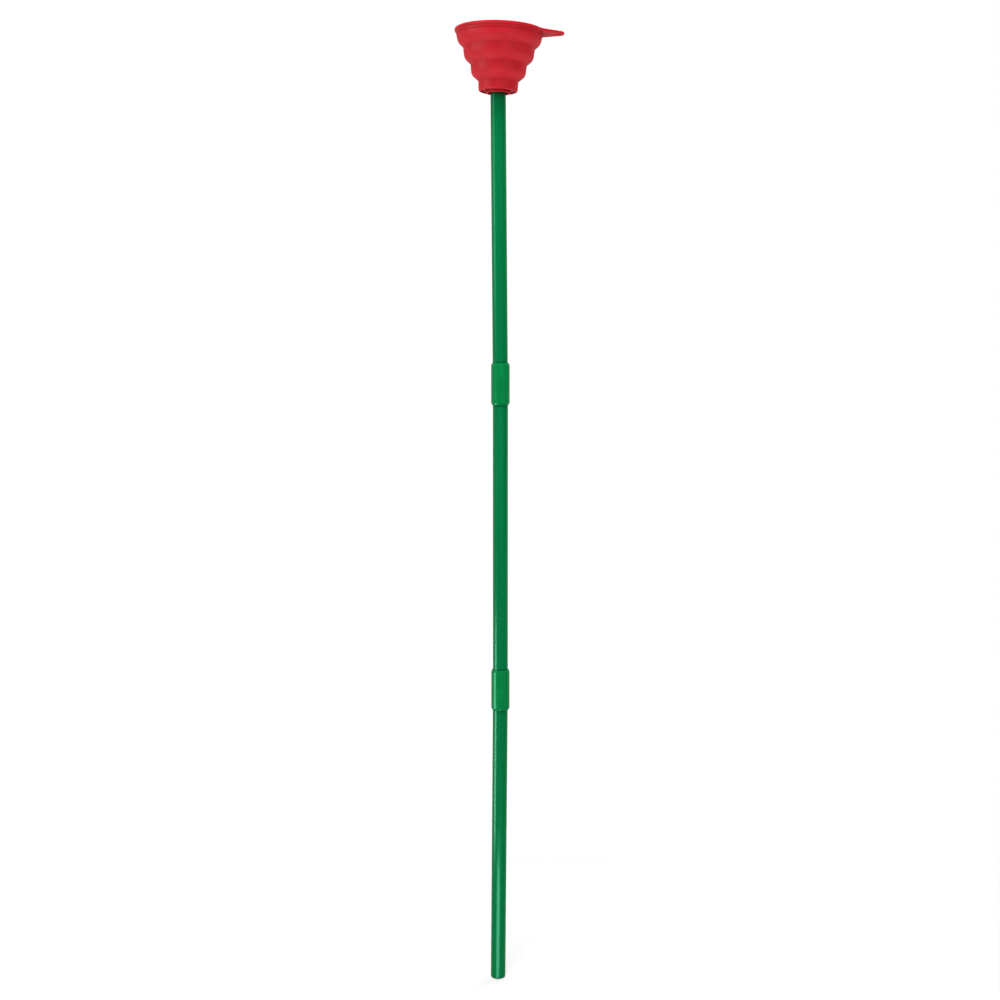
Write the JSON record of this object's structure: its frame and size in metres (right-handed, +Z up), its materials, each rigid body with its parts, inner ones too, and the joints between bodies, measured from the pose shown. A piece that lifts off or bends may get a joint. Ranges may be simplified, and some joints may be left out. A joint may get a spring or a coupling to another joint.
{
  "type": "long-reach watering funnel",
  "caption": "Collapsible silicone funnel with a hanging tab, plugged into a long straight tube that pulls apart at sleeve couplings, for pouring water to a place out of reach.",
  "frame": {"origin": "on the tube's axis in the plane of its lower end, beside the flat ring that the tube_end_face mount marks", "axes": "+Z up along the tube towards the funnel, +X towards the hanging tab, +Y square to the tab"},
  "size_m": [0.1068, 0.0872, 0.9516],
  "materials": {
    "silicone": "satin red silicone",
    "tube_plastic": "glossy green extruded plastic",
    "coupling_plastic": "satin green moulded plastic"
  },
  "bodies": {
    "lower_tube": {"lower_tube": "tube_plastic"},
    "lower_coupling": {"lower_coupling": "coupling_plastic"},
    "middle_tube": {"middle_tube": "tube_plastic"},
    "upper_coupling": {"upper_coupling": "coupling_plastic"},
    "upper_tube": {"upper_tube": "tube_plastic"},
    "funnel_base": {"funnel_base_tier": "silicone", "fold_web_3": "silicone"},
    "funnel_tier_3": {"funnel_tier_3": "silicone", "fold_web_2": "silicone"},
    "funnel_tier_2": {"funnel_tier_2": "silicone", "fold_web_1": "silicone"},
    "funnel_rim": {"funnel_rim_tier": "silicone"}
  },
  "joints": [
    {"name": "lower_coupling_twist", "type": "hinge", "parent": "lower_tube", "child": "lower_coupling", "pos_m": [0, 0, 0.3], "axis": [0, 0, 1], "continuous": true},
    {"name": "middle_tube_pull", "type": "slide", "parent": "lower_coupling", "child": "middle_tube", "axis": [0, 0, 1], "range_m": [0, 0.03]},
    {"name": "upper_coupling_twist", "type": "hinge", "parent": "middle_tube", "child": "upper_coupling", "pos_m": [0, 0, 0.61], "axis": [0, 0, 1], "continuous": true},
    {"name": "upper_tube_pull", "type": "slide", "parent": "upper_coupling", "child": "upper_tube", "axis": [0, 0, 1], "range_m": [0, 0.03]},
    {"name": "funnel_pull", "type": "slide", "parent": "upper_tube", "child": "funnel_base", "axis": [0, 0, 1], "range_m": [0, 0.045]},
    {"name": "fold_3", "type": "slide", "parent": "funnel_base", "child": "funnel_tier_3", "axis": [0, 0, 1], "range_m": [-0.016, 0], "stiffness_N_per_m": 250, "deforming": ["fold_web_3"]},
    {"name": "fold_2", "type": "slide", "parent": "funnel_tier_3", "child": "funnel_tier_2", "axis": [0, 0, 1], "range_m": [-0.016, 0], "stiffness_N_per_m": 250, "deforming": ["fold_web_2"]},
    {"name": "fold_1", "type": "slide", "parent": "funnel_tier_2", "child": "funnel_rim", "axis": [0, 0, 1], "range_m": [-0.016, 0], "stiffness_N_per_m": 250, "deforming": ["fold_web_1"]}
  ]
}
